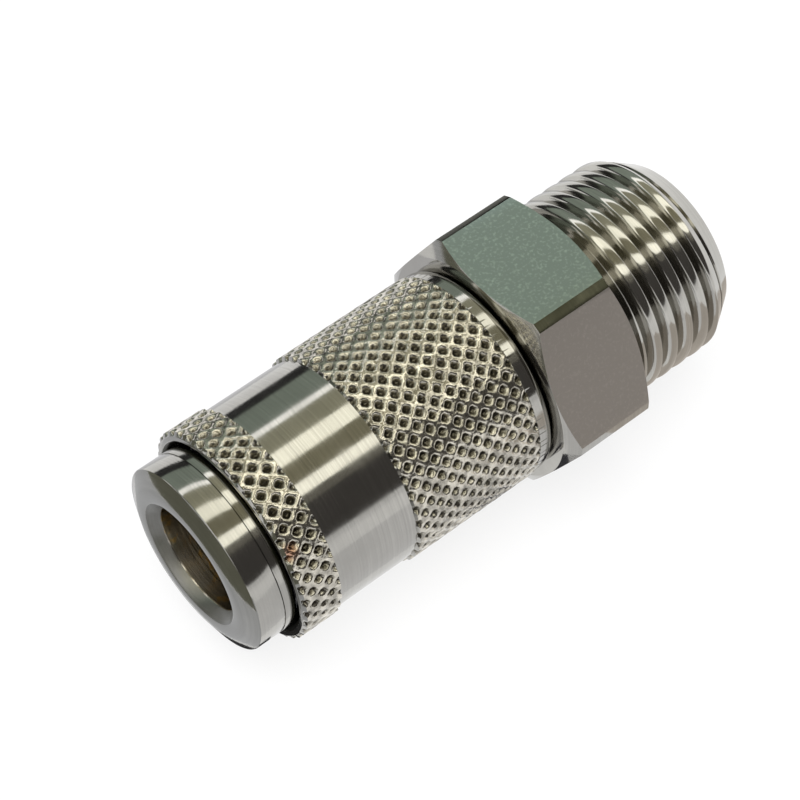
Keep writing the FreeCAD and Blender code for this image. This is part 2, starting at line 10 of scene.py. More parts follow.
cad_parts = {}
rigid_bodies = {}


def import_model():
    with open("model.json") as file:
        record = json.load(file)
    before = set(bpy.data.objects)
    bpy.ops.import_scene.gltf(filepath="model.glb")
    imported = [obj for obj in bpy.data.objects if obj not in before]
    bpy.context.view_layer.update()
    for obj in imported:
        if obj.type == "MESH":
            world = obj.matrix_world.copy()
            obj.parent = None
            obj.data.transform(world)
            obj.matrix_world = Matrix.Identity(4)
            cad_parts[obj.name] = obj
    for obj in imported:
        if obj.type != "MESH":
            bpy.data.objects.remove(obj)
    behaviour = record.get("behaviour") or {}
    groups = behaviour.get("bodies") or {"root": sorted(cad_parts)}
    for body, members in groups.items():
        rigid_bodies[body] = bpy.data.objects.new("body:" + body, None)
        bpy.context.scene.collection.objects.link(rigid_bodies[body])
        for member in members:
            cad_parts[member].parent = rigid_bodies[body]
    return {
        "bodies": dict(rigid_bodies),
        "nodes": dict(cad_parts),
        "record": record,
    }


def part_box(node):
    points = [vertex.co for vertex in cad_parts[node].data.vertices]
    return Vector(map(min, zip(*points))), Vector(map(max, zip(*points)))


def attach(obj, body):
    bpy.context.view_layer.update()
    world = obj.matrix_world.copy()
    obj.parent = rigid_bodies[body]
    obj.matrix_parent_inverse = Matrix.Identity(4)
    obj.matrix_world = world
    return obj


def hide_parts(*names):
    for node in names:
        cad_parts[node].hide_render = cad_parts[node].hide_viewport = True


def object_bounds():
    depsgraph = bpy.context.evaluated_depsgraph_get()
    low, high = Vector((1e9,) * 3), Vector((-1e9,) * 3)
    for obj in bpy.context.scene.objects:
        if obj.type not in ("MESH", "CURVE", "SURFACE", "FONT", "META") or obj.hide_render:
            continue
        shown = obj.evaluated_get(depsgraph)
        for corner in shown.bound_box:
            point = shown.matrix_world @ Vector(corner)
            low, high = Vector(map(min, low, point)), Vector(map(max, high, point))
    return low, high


bl_info = {
    "name": "Pneumatic quick coupling",
    "version": (1, 0, 0),
    "blender": (4, 5, 0),
    "location": "3D View > Sidebar > Coupling",
    "description": "Knurled sleeve, threaded hex adapter, nose and studio for a small air coupling",
    "category": "Add Mesh",
}

# The pieces are modelled in millimetres and brought to metres when they are finished
MM = 0.001
TAU = 2 * math.pi
CLOSE = 1e-4

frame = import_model()
cad_low, cad_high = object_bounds()
bodies = frame["record"]["behaviour"]["bodies"]


def ends(node):
    """Lowest and highest place of a CAD node along the axis, and its outer radius, in millimetres."""
    low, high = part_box(node)
    return low.x / MM, high.x / MM, max(high.y, high.z) / MM


def body_of(node):
    """The body that carries a CAD node."""
    return next(body for body, members in bodies.items() if node in members)


def length(name, description, millimetres):
    """A length property, held in metres."""
    return FloatProperty(
        name=name, description=description, default=millimetres * MM, min=0, unit="LENGTH", precision=5
    )


def whole_number(name, description, number):
    """A whole-number property."""
    return IntProperty(name=name, description=description, default=number, min=2)


def colour(name, description, red, green, blue):
    """A colour property, in linear light."""
    return FloatVectorProperty(
        name=name, description=description, default=(red, green, blue), min=0, max=1, size=3, subtype="COLOR"
    )


class NoseSizes(bpy.types.PropertyGroup):
    face: length("Face", "Diameter of the flat front face", 7.0)
    mouth: length("Mouth", "Diameter of the mouth at the front face", 5.9)
    mouth_depth: length("Mouth depth", "Depth of the mouth's cone", 0.45)
    cone: length("Cone", "Length of the cone outside, behind the front face", 0.35)
    head: length("Head", "Length of the head in front of the ring", 1.6)
    bore: length("Bore", "Diameter of the bore that takes the plug", 5.0)
    barrel: length("Barrel", "Diameter of the barrel inside the sleeve", 6.9)
    ball_zone_front: length("Ball zone front", "Where the wider bore around the balls starts", 6.35)
    ball_zone: length("Ball zone", "Diameter of the wider bore around the balls", 5.4)
    tip_bore_front: length("Tip bore front", "Where the narrower bore for the plug's tip starts", 8.25)
    tip_bore: length("Tip bore", "Diameter of the bore for the plug's tip", 4.6)
    seal: length("Seal", "Where the middle of the seal's groove is, from the front", 9.1)
    seal_groove: length("Seal groove", "Width of the seal's groove", 1.0)
    seal_depth: length("Seal groove depth", "Depth of the seal's groove", 0.57)
    spigot: length("Tail start", "Where the screwed tail starts, from the front", 9.9)
    tail: length("Tail", "Diameter of the screwed tail", 6.2)
    seat: length("Seat", "Diameter of the valve's seat", 3.9)
    seat_cone: length("Seat cone", "Length of the seat's cone", 0.65)
    seat_length: length("Seat length", "Length of the seat's straight part", 0.8)
    ball_hole: length("Ball hole", "Diameter of the holes for the balls", 1.6)
    ball_lip: length("Ball hole lip", "Diameter of the holes at the bore", 1.34)
    edge: length("Edge", "Width of the broken edges in front", 0.07)
    rear_edge: length("Rear edge", "Width of the broken edge behind the head", 0.02)
    sides: whole_number("Sides", "Sides around the nose", 288)


class RingSizes(bpy.types.PropertyGroup):
    bore: length("Bore", "Inner diameter of the ring behind the nose", 7.0)
    edge: length("Edge", "Width of the broken edges", 0.02)


class SleeveSizes(bpy.types.PropertyGroup):
    front_band: length("Front band", "Length of the front knurled band", 1.95)
    front_band_diameter: length("Front band diameter", "Diameter over the front knurl", 10.12)
    grip: length("Grip", "Length of the plain grip", 4.04)
    grip_diameter: length("Grip diameter", "Diameter of the plain grip", 9.81)
    rear_band: length("Rear band", "Length of the rear knurled band", 6.71)
    rear_band_diameter: length("Rear band diameter", "Diameter over the rear knurl", 10.14)
    knurl_edge: length("Knurl edge", "Width of the slope at each end of a knurl", 0.06)
    rear_ring_diameter: length("Rear ring diameter", "Diameter of the plain ring at the rear", 10.02)
    rear_round: length("Rear round", "Radius of the rear edge", 0.4)
    front_edge: length("Front edge", "Length of the slope in front of the front knurl", 0.12)
    front_chamfer: length("Front chamfer", "Height of that slope", 0.2)
    mouth: length("Mouth", "Diameter of the sleeve's mouth at its front face", 9.3)
    bore: length("Spring bore", "Diameter of the bore around the spring", 8.96)
    mouth_chamfer: length("Mouth chamfer", "Depth of the mouth's chamfer", 0.17)
    land_front: length("Land front", "Where the locking taper starts, from the sleeve's front", 4.7)
    land_front_diameter: length("Land front diameter", "Small diameter of the locking taper", 7.351)
    land_rear: length("Land rear", "Where the locking taper ends, from the sleeve's front", 7.55)
    land_rear_diameter: length("Land rear diameter", "Large diameter of the locking taper", 8.491)
    rear_bore: length("Rear bore", "Diameter of the bore behind the taper", 8.591)
    # The painted shade in the knurl's pits darkens over this depth below the crest
    pit_shade: length("Pit shade", "How far down a pit turns dark", 0.17)
    speck: FloatVectorProperty(
        name="Speck", description="Where the rusty speck is", unit="LENGTH",
        default=(-17.9 * MM, -3.95 * MM, 3.15 * MM),
    )
    starts: whole_number("Knurl starts", "Pits around the sleeve in one row", 40)
    rear_rows: whole_number("Rear rows", "Half pits along the rear knurl", 16)
    front_rows: whole_number("Front rows", "Half pits along the front knurl", 4)


class HexSizes(bpy.types.PropertyGroup):
    flats: length("Flats", "Distance over the flats of the hex", 11.0)
    length: length("Length", "Length of the hex", 4.65)
    chamfer: length("Chamfer", "Length of the chamfer at each end of the hex", 0.415)
    edge: length("Edge", "Width of the broken edges", 0.05)
    spigot: length("Spigot", "Diameter of the spigot inside the sleeve", 8.431)
    screw_bore: length("Screw bore", "Diameter of the bore around the nose's tail", 6.26)
    screw_depth: length("Screw depth", "Depth of the bore around the nose's tail", 1.9)
    chamber: length("Chamber", "Diameter of the valve's chamber", 5.5)
    chamber_web: length("Chamber web", "Wall between the chamber and the hex's rear face", 1.0)
    passage: length("Passage", "Diameter of the passage through the thread", 3.4)
    passage_edge: length("Passage edge", "Width of the chamfer at the passage's end", 0.5)
    thread: length("Thread", "Outer diameter of the thread", 9.728)
    pitch: length("Pitch", "Pitch of the thread, 28 per inch", 25.4 / 28)
    thread_depth: length("Thread depth", "Depth of the thread", 0.56)
    crest_share: FloatProperty(
        name="Crest share", description="How much broader the crest is than the root", default=0.7
    )
    lead: length("Lead", "Length of the cone at the thread's end", 1.38)
    lead_diameter: length("Lead diameter", "Diameter of the thread's end face", 7.9)
    relief: length("Relief", "Width of the groove between hex and thread", 0.6)
    relief_diameter: length("Relief diameter", "Diameter of that groove", 8.568)
    turn_steps: whole_number("Steps per turn", "Steps around one turn of the thread", 240)
    pitch_steps: whole_number("Steps per pitch", "Steps over one pitch of the thread", 18)


class FinishColours(bpy.types.PropertyGroup):
    nickel: colour("Nickel", "Nickel plating on the outside", 0.46, 0.45, 0.42)
    # Painted highlight: the knurl's ridges are given a lighter, creamier nickel than the turned nickel
    knurl: colour("Knurl", "Nickel on the knurl's ridges", 0.58, 0.55, 0.48)
    # Painted shade: this dark colour stands in for the shade down in the knurl's pits
    pits: colour("Pits", "Nickel down in the knurl's pits", 0.12, 0.11, 0.085)
    rust: colour("Rust", "The rusty speck on the knurl", 0.62, 0.30, 0.17)
    flat: colour("Flats", "Nickel on the milled flats of the hex", 0.27, 0.245, 0.22)
    # Painted reflection: the flat that faces up is given a greener tone than the other flats, by the way it
    # faces
    top_flat: colour("Top flat", "Nickel with a green film on the flat that faces up", 0.24, 0.30, 0.285)
    # Painted shade: a near-black nickel for the hex's upper corners and the sleeve's mouth
    corner: colour("Corners", "Nickel on the corners of the hex bar", 0.06, 0.06, 0.042)
    inner: colour("Bore", "Thin plating over brass inside the bore", 0.42, 0.39, 0.34)
    brass: colour("Brass", "Bare brass of the valve", 0.62, 0.45, 0.20)
    ball: colour("Ball steel", "Polished steel of the balls", 0.56, 0.56, 0.57)
    wire: colour("Wire", "Spring wire", 0.40, 0.40, 0.41)
    rubber: colour("Rubber", "Rubber rings", 0.02, 0.02, 0.02)


class StudioSizes(bpy.types.PropertyGroup):
    tunnel: length("Tunnel", "Radius of the light tunnel over the table", 600)
    tunnel_length: length("Tunnel length", "Length of the light tunnel", 3600)
    floor: length("Floor", "Width of the floor", 6000)
    lens: FloatProperty(name="Lens", description="Focal length for a 36 mm sensor", default=112.8, min=1)


def deselect_all():
    for chosen in list(bpy.context.selected_objects):
        chosen.select_set(False)


def choose(piece):
    """Make one object the only chosen one."""
    deselect_all()
    piece.select_set(True)
    bpy.context.view_layer.objects.active = piece


def edit(piece, kind="EDGE"):
    """Open one object in edit mode with nothing selected."""
    choose(piece)
    bpy.ops.object.mode_set(mode="EDIT")
    bpy.ops.mesh.select_mode(type=kind)
    bpy.ops.mesh.select_all(action="DESELECT")


def leave():
    bpy.ops.object.mode_set(mode="OBJECT")


def in_mm(sizes):
    """The lengths of a property group in millimetres, and the rest as it is."""
    values = {}
    for name in sizes.__annotations__:
        found = getattr(sizes, name)
        if isinstance(found, float) and not name.endswith("_share"):
            found = found / MM
        values[name] = found
    return SimpleNamespace(**values)


def apply_modifier(piece, kind, **settings):
    choose(piece)
    bpy.ops.object.modifier_add(type=kind)
    modifier = piece.modifiers[-1]
    for name, setting in settings.items():
        setattr(modifier, name, setting)
    bpy.ops.object.modifier_apply(modifier=modifier.name)


def extrude(offset):
    bpy.ops.mesh.extrude_region_move(TRANSFORM_OT_translate={"value": offset})


def next_ring(here, there):
    """Extrude the selected ring from one station and radius to the next."""
    (x, radius), (new_x, new_radius) = here, there
    extrude((new_x - x, 0, 0))
    growth = new_radius / radius
    if abs(growth - 1) > 1e-9:
        bpy.ops.transform.resize(value=(1, growth, growth), center_override=(new_x, 0, 0))


def turned(name, profile, sides):
    """A closed turned piece: a circle that is extruded along its stations and back to its start."""
    x, radius = profile[0]
    bpy.ops.mesh.primitive_circle_add(
        vertices=sides, radius=radius, location=(x, 0, 0), rotation=(0, math.pi / 2, 0)
    )
    piece = bpy.context.object
    piece.name = name
    bpy.ops.object.transform_apply()
    edit(piece)
    bpy.ops.mesh.select_all(action="SELECT")
    for here, there in zip(profile, profile[1:] + profile[:1]):
        next_ring(here, there)
    weld()
    face_outward()
    leave()
    return piece


def select_ring(piece, x):
    """Select the open edges that lie in the plane at one station."""
    mesh = bmesh.from_edit_mesh(piece.data)
    for edge in mesh.edges:
        if edge.is_boundary and all(abs(vertex.co.x - x) < CLOSE for vertex in edge.verts):
            edge.select_set(True)
    bmesh.update_edit_mesh(piece.data)


def lone_vertex(name, place):
    """A piece of one vertex, open and selected, from which a line is extruded."""
    bpy.ops.mesh.primitive_plane_add(size=1)
    piece = bpy.context.object
    piece.name = name
    edit(piece, "VERT")
    bpy.ops.mesh.select_all(action="SELECT")
    bpy.ops.mesh.merge(type="CENTER")
    bpy.ops.transform.translate(value=place)
    return piece


def ring_to_circle(piece, x, radius, repeats):
    """Extrude the selected uneven ring and lay the new one on a circle in equal steps."""
    bpy.ops.mesh.extrude_region_move()
    mesh = bmesh.from_edit_mesh(piece.data)
    first = math.pi / repeats

    def turn(vertex):
        return (math.atan2(vertex.co.z, vertex.co.y) - first + CLOSE) % TAU

    ring = sorted((vertex for vertex in mesh.verts if vertex.select), key=turn)
    for count, vertex in enumerate(ring):
        angle = first + TAU * count / len(ring)
        vertex.co = (x, radius * math.cos(angle), radius * math.sin(angle))
    bmesh.update_edit_mesh(piece.data)


def continue_rings(profile):
    """Extrude the selected circle through the rest of a profile."""
    for here, there in zip(profile, profile[1:]):
        next_ring(here, there)


def bridge(piece, first_x, second_x):
    """Join two open rings that face each other."""
    bpy.ops.mesh.select_all(action="DESELECT")
    select_ring(piece, first_x)
    if abs(second_x - first_x) > CLOSE:
        select_ring(piece, second_x)
    bpy.ops.mesh.bridge_edge_loops()


def weld():
    """Join the vertices of the open piece that lie in one place."""
    bpy.ops.mesh.select_all(action="SELECT")
    bpy.ops.mesh.remove_doubles(threshold=CLOSE)


def cut_square(piece, low, high):
    """Weld a piece and cut it off at two stations along the axis."""
    edit(piece)
    weld()
    for x, outward in ((low, -1), (high, 1)):
        bpy.ops.mesh.select_all(action="SELECT")
        bpy.ops.mesh.bisect(plane_co=(x, 0, 0), plane_no=(outward, 0, 0), clear_outer=True, threshold=CLOSE)
    leave()


def face_outward():
    bpy.ops.mesh.select_all(action="SELECT")
    bpy.ops.mesh.normals_make_consistent(inside=False)


def select_sharp(piece, low, high, sharpness):
    """Open a piece and select the edges between two stations that turn by more than an angle."""
    edit(piece)
    mesh = bmesh.from_edit_mesh(piece.data)
    for edge in mesh.edges:
        inside = all(low - CLOSE < vertex.co.x < high + CLOSE for vertex in edge.verts)
        if inside and edge.is_manifold and math.degrees(edge.calc_face_angle()) > sharpness:
            edge.select_set(True)
    bmesh.update_edit_mesh(piece.data)


def break_edges(piece, width, low, high, sharpness=25):
    """Break the sharp edges between two stations with a narrow round."""
    select_sharp(piece, low, high, sharpness)
    bpy.ops.mesh.bevel(offset=width, segments=2, affect="EDGES", clamp_overlap=True)
    leave()


def mark_sharp_edges(piece, low, high, sharpness):
    """Keep the shading apart at the sharp edges between two stations."""
    select_sharp(piece, low, high, sharpness)
    bpy.ops.mesh.mark_sharp()
    leave()


def shade(piece, degrees):
    choose(piece)
    bpy.ops.object.shade_smooth_by_angle(angle=math.radians(degrees))


def finish_piece(piece, node, *materials):
    """Bring a plated piece to metres, give it its materials and let it stand for its CAD node."""
    choose(piece)
    piece.scale = (MM, MM, MM)
    bpy.ops.object.transform_apply()
    piece.data.materials.clear()
    for material in materials:
        piece.data.materials.append(material)
    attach(piece, body_of(node))
    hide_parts(node)


def new_material(name, base, metallic, roughness):
    """A material with its principled shader, its nodes and its links."""
    material = bpy.data.materials.new(name)
    material.use_nodes = True
    nodes, links = material.node_tree.nodes, material.node_tree.links
    shader = nodes["Principled BSDF"]
    shader.inputs["Base Color"].default_value = (*base, 1)
    shader.inputs["Metallic"].default_value = metallic
    shader.inputs["Roughness"].default_value = roughness
    return material, nodes, links, shader


def object_noise(nodes, links, scale, detail, roughness=0.5):
    """The value of a noise on object coordinates, with its own scale along X, Y and Z."""
    place = nodes.new("ShaderNodeTexCoord")
    mapping = nodes.new("ShaderNodeMapping")
    mapping.inputs["Scale"].default_value = scale
    noise = nodes.new("ShaderNodeTexNoise")
    for name, setting in (("Scale", 1), ("Detail", detail), ("Roughness", roughness)):
        noise.inputs[name].default_value = setting
    links.new(place.outputs["Object"], mapping.inputs["Vector"])
    links.new(mapping.outputs["Vector"], noise.inputs["Vector"])
    return noise.outputs["Fac"]


def spread(nodes, links, value, low, high, to_low=0, to_high=1):
    """Bring a value into a range."""
    span = nodes.new("ShaderNodeMapRange")
    for name, limit in (("From Min", low), ("From Max", high), ("To Min", to_low), ("To Max", to_high)):
        span.inputs[name].default_value = limit
    links.new(value, span.inputs["Value"])
    return span.outputs["Result"]


def tint(nodes, links, factor, first, second):
    """A colour between two, each given as a colour or as another node's output."""
    mix = nodes.new("ShaderNodeMix")
    mix.data_type = "RGBA"
    for side, given in (("A", first), ("B", second)):
        if isinstance(given, bpy.types.NodeSocket):
            links.new(given, mix.inputs[side])
        else:
            mix.inputs[side].default_value = (*given, 1)
    links.new(factor, mix.inputs["Factor"])
    return mix.outputs["Result"]


def relief(nodes, links, shader, height, distance, before=None):
    """Bump from a height, on top of an earlier bump if there is one."""
    bump = nodes.new("ShaderNodeBump")
    bump.inputs["Strength"].default_value = 1
    bump.inputs["Distance"].default_value = distance
    links.new(height, bump.inputs["Height"])
    if before:
        links.new(before.outputs["Normal"], bump.inputs["Normal"])
    links.new(bump.outputs["Normal"], shader.inputs["Normal"])
    return bump


def scaled(base, share):
    """A colour made lighter or darker."""
    return tuple(channel * share for channel in base)


def plated_nickel(name, base, roughness, groove, speckle):
    """Bright nickel over turned brass: fine rings from turning, faint stains and small pits."""
    material, nodes, links, shader = new_material(name, base, 1, roughness)
    stain = object_noise(nodes, links, (260, 260, 260), 4, 0.6)
    stain_share = spread(nodes, links, stain, 0.35, 0.72)
    rings = object_noise(nodes, links, (9000, 60, 60), 3, 0.7)
    ring_share = spread(nodes, links, rings, 0.3, 0.7)
    marked = tint(nodes, links, ring_share, scaled(base, 1.12), scaled(base, 0.84))
    stained = tint(nodes, links, stain_share, marked, scaled(base, 0.82))
    links.new(stained, shader.inputs["Base Color"])
    wear = object_noise(nodes, links, (900, 900, 900), 3, 0.55)
    wear_share = spread(nodes, links, wear, 0.3, 0.7, roughness * 0.75, roughness * 1.35)
    links.new(wear_share, shader.inputs["Roughness"])
    bump = relief(nodes, links, shader, rings, groove)
    grains = object_noise(nodes, links, (5200, 5200, 5200), 2)
    relief(nodes, links, shader, grains, speckle, bump)
    return material


def knurled_nickel_painted_light(name, base, painted_pit_shade, rust, roughness, crest, depth, speck):
    """Nickel on the knurl with painted shade down in the pits, each ridge a little uneven, and one rusty
    speck.
    """
    material, nodes, links, shader = new_material(name, base, 1, roughness)
    place = nodes.new("ShaderNodeTexCoord")
    across = nodes.new("ShaderNodeVectorMath")
    across.operation = "MULTIPLY"
    across.inputs[1].default_value = (0, 1, 1)
    links.new(place.outputs["Object"], across.inputs[0])
    reach = nodes.new("ShaderNodeVectorMath")
    reach.operation = "LENGTH"
    links.new(across.outputs[0], reach.inputs[0])
    # Painted shade: the colour turns dark with the distance below the crest, down into the pits
    height = spread(nodes, links, reach.outputs["Value"], crest - depth, crest - 0.2 * depth)
    dents = object_noise(nodes, links, (2600, 2600, 2600), 2)
    unevenness = spread(nodes, links, dents, 0.35, 0.65)
    # Painted highlight: the ridges' colour is a lighter copy of the nickel, varied at random
    ridge_painted_highlight = tint(nodes, links, unevenness, scaled(base, 0.6), scaled(base, 1.3))
    with_painted_pit_shade = tint(nodes, links, height, painted_pit_shade, ridge_painted_highlight)
    from_speck = nodes.new("ShaderNodeVectorMath")
    from_speck.operation = "DISTANCE"
    from_speck.inputs[1].default_value = speck
    links.new(place.outputs["Object"], from_speck.inputs[0])
    speck_share = spread(nodes, links, from_speck.outputs["Value"], 0.5 * MM, 0.1 * MM, 0, 0.7)
    links.new(tint(nodes, links, speck_share, with_painted_pit_shade, rust), shader.inputs["Base Color"])
    bump = relief(nodes, links, shader, dents, 60e-6)
    grains = object_noise(nodes, links, (9000, 9000, 9000), 2)
    relief(nodes, links, shader, grains, 1.2e-6, bump)
    return material


def worn_nickel(name, base, bare, roughness):
    """Thin plating that is worn through in spots, so that the brass shows."""
    material, nodes, links, shader = new_material(name, base, 1, roughness)
    spots = object_noise(nodes, links, (1500, 1500, 1500), 3, 0.6)
    share = spread(nodes, links, spots, 0.56, 0.62)
    links.new(tint(nodes, links, share, base, bare), shader.inputs["Base Color"])
    rings = object_noise(nodes, links, (6000, 300, 300), 2)
    relief(nodes, links, shader, rings, 10e-6)
    return material


def speckled_nickel(name, base, fleck, roughness):
    """Nickel on the milled flats: an even tone with fine flecks, so many times as bright as the rest."""
    material, nodes, links, shader = new_material(name, base, 1, roughness)
    flecks = object_noise(nodes, links, (7500, 7500, 7500), 2)
    share = spread(nodes, links, flecks, 0.52, 0.78)
    links.new(tint(nodes, links, share, base, scaled(base, fleck)), shader.inputs["Base Color"])
    brushed = object_noise(nodes, links, (160, 5200, 5200), 3, 0.6)
    relief(nodes, links, shader, brushed, 2.5e-6)
    return material


def plain_metal(name, base, roughness, grain, scale):
    """Bare metal with a fine grain."""
    material, nodes, links, shader = new_material(name, base, 1, roughness)
    grains = object_noise(nodes, links, (scale, scale, scale), 3, 0.6)
    share = spread(nodes, links, grains, 0.3, 0.7)
    links.new(tint(nodes, links, share, base, scaled(base, 0.8)), shader.inputs["Base Color"])
    relief(nodes, links, shader, grains, grain)
    return material


def rubber(name, base):
    """Matt black rubber with a fine tooth."""
    material, nodes, links, shader = new_material(name, base, 0, 0.6)
    tooth = object_noise(nodes, links, (4000, 4000, 4000), 2)
    links.new(spread(nodes, links, tooth, 0.3, 0.7, 0.5, 0.75), shader.inputs["Roughness"])
    relief(nodes, links, shader, tooth, 3e-6)
    return material


def finishes():
    """The materials by name, made once."""
    made = bpy.data.materials
    if "turned_nickel" in made:
        return made
    colours = bpy.context.scene.coupling_finish
    nickel = tuple(colours.nickel)
    plated_nickel("turned_nickel", nickel, 0.115, 3.2e-6, 0.2e-6)
    plated_nickel("bright_nickel", nickel, 0.1, 0.5e-6, 0.3e-6)
    knurl = bpy.context.scene.coupling_sleeve
    knurled_nickel_painted_light(
        "knurl_nickel_painted_shade_and_highlight", tuple(colours.knurl), tuple(colours.pits), tuple(colours.rust), 0.21,
        knurl.front_band_diameter / 2, knurl.pit_shade, tuple(knurl.speck),
    )
    speckled_nickel("flat_nickel", tuple(colours.flat), 1.15, 0.33)
    speckled_nickel("top_flat_painted_reflection_nickel", tuple(colours.top_flat), 1.5, 0.33)
    plated_nickel("painted_shade_nickel", tuple(colours.corner), 0.26, 0.3e-6, 0.8e-6)
    # Painted highlight: the thread's nickel is a tenth lighter than the rest
    plated_nickel("thread_nickel_painted_highlight", scaled(nickel, 1.1), 0.11, 0.2e-6, 0)
    # Painted shade: the nose's mouth cone is given a darker copy of the nickel, with a rougher finish
    plated_nickel("mouth_nickel_painted_shade", scaled(nickel, 0.75), 0.38, 1.2e-6, 0.6e-6)
    worn_nickel("bore_nickel", tuple(colours.inner), tuple(colours.brass), 0.2)
    plain_metal("valve_brass", tuple(colours.brass), 0.24, 0.6e-6, 3000)
    plain_metal("ball_steel", tuple(colours.ball), 0.08, 0.1e-6, 2000)
    plain_metal("wire_steel", tuple(colours.wire), 0.3, 0.6e-6, 4000)
    rubber("seal_rubber", tuple(colours.rubber))
    return made


def paint_faces(piece, material_index, low, high, radius_low, radius_high=1, floor=-1):
    """Give the faces between two stations and two radii, over a floor, another of the piece's materials."""
    for face in piece.data.polygons:
        x, y, z = face.center
        if low < x < high and radius_low < math.hypot(y, z) < radius_high and z > floor:
            face.material_index = material_index


class COUPLING_OT_nose(bpy.types.Operator):
    """Turn the nose with its barrel, and drill the holes for the balls"""

    bl_idname = "coupling.nose"
    bl_label = "Nose"

    # The holes' lip ends this far below the ball's middle and starts this far inside the bore; the
    # cutter goes on outward through the wall
    lip_below, lip_inside, cutter_length = 0.15, 0.1, 3

    def execute(self, context):
        size = in_mm(context.scene.coupling_nose)
        front, tail_end, radius = ends("nose_body")
        bore, tail, seat = size.bore / 2, size.tail / 2, size.seat / 2
        ball_zone, tip_bore = size.ball_zone / 2, size.tip_bore / 2
        seal_front = front + size.seal - size.seal_groove / 2
        seal_rear = front + size.seal + size.seal_groove / 2
        cone_front = tail_end - size.seat_cone
        seat_front = cone_front - size.seat_length
        outside = [
            (front, size.mouth / 2),
            (front, size.face / 2),
            (front + size.cone, radius),
            (front + size.head, radius),
            (front + size.head, size.barrel / 2),
            (front + size.spigot, size.barrel / 2),
            (front + size.spigot, tail),
            (tail_end, tail),
        ]
        inside = [
            (tail_end, seat + size.seat_cone),
            (cone_front, seat),
            (seat_front, seat),
            (seat_front, tip_bore),
            (seal_rear, tip_bore),
            (seal_rear, tip_bore + size.seal_depth),
            (seal_front, tip_bore + size.seal_depth),
            (seal_front, tip_bore),
            (front + size.tip_bore_front, tip_bore),
            (front + size.tip_bore_front, ball_zone),
            (front + size.ball_zone_front, ball_zone),
            (front + size.ball_zone_front, bore),
            (front + size.mouth_depth, bore),
        ]
        nose = turned("nose", outside + inside, size.sides)
        self.drill(nose, size)
        break_edges(nose, size.edge, front, front + size.mouth_depth)
        break_edges(nose, size.rear_edge, front + size.head, front + size.head)
        shade(nose, 24)
        made = finishes()
        finish_piece(nose, "nose_body", made["turned_nickel"], made["bore_nickel"], made["mouth_nickel_painted_shade"])
        mouth_end, mouth = (front + size.mouth_depth) * MM, size.mouth / 2 * MM
        paint_faces(nose, 1, mouth_end, tail_end * MM, 0, mouth)
        # Painted shade: the mouth cone takes the darker nickel
        paint_faces(nose, 2, front * MM, mouth_end, 0, mouth)
        return {"FINISHED"}

    def drill(self, nose, size):
        """Cut one lipped hole for each ball, straight out from the axis."""
        hole, lip = size.ball_hole / 2, size.ball_lip / 2
        lip_start = size.ball_zone / 2 - self.lip_inside
        for ball in (body for body in frame["bodies"] if body.startswith("ball_")):
            low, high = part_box(ball)
            middle = (low + high) / 2 / MM
            direction = Vector((0, middle.y, middle.z)).normalized()
            lip_end = math.hypot(middle.y, middle.z) - self.lip_below
            bpy.ops.mesh.primitive_cylinder_add(
                vertices=64, radius=hole, depth=self.cutter_length, location=(0, 0, 0)
            )
            cutter = bpy.context.object
            edit(cutter, "FACE")
            mesh = bmesh.from_edit_mesh(cutter.data)
            for face in mesh.faces:
                if face.normal.z < -0.5:
                    face.select_set(True)
            bmesh.update_edit_mesh(cutter.data)
            extrude((0, 0, lip_start - lip_end))
            bpy.ops.transform.resize(value=(lip / hole, lip / hole, 1))
            leave()
            turn = direction.to_track_quat("Z", "Y").to_matrix().to_4x4()
            at = Vector((middle.x, 0, 0)) + direction * (lip_end + self.cutter_length / 2)
            cutter.matrix_world = Matrix.Translation(at) @ turn
            apply_modifier(nose, "BOOLEAN", operation="DIFFERENCE", solver="EXACT", object=cutter)
            bpy.data.objects.remove(cutter, do_unlink=True)


class COUPLING_OT_ring(bpy.types.Operator):
    """Turn the narrow ring that lies behind the nose's head"""

    bl_idname = "coupling.ring"
    bl_label = "Front ring"

    def execute(self, context):
        size = in_mm(context.scene.coupling_ring)
        front, rear, radius = ends("spring_ring")
        bore = size.bore / 2
        profile = [(front, bore), (front, radius), (rear, radius), (rear, bore)]
        ring = turned("front_ring", profile, context.scene.coupling_nose.sides)
        break_edges(ring, size.edge, front, rear)
        shade(ring, 24)
        finish_piece(ring, "spring_ring", finishes()["turned_nickel"])
        return {"FINISHED"}


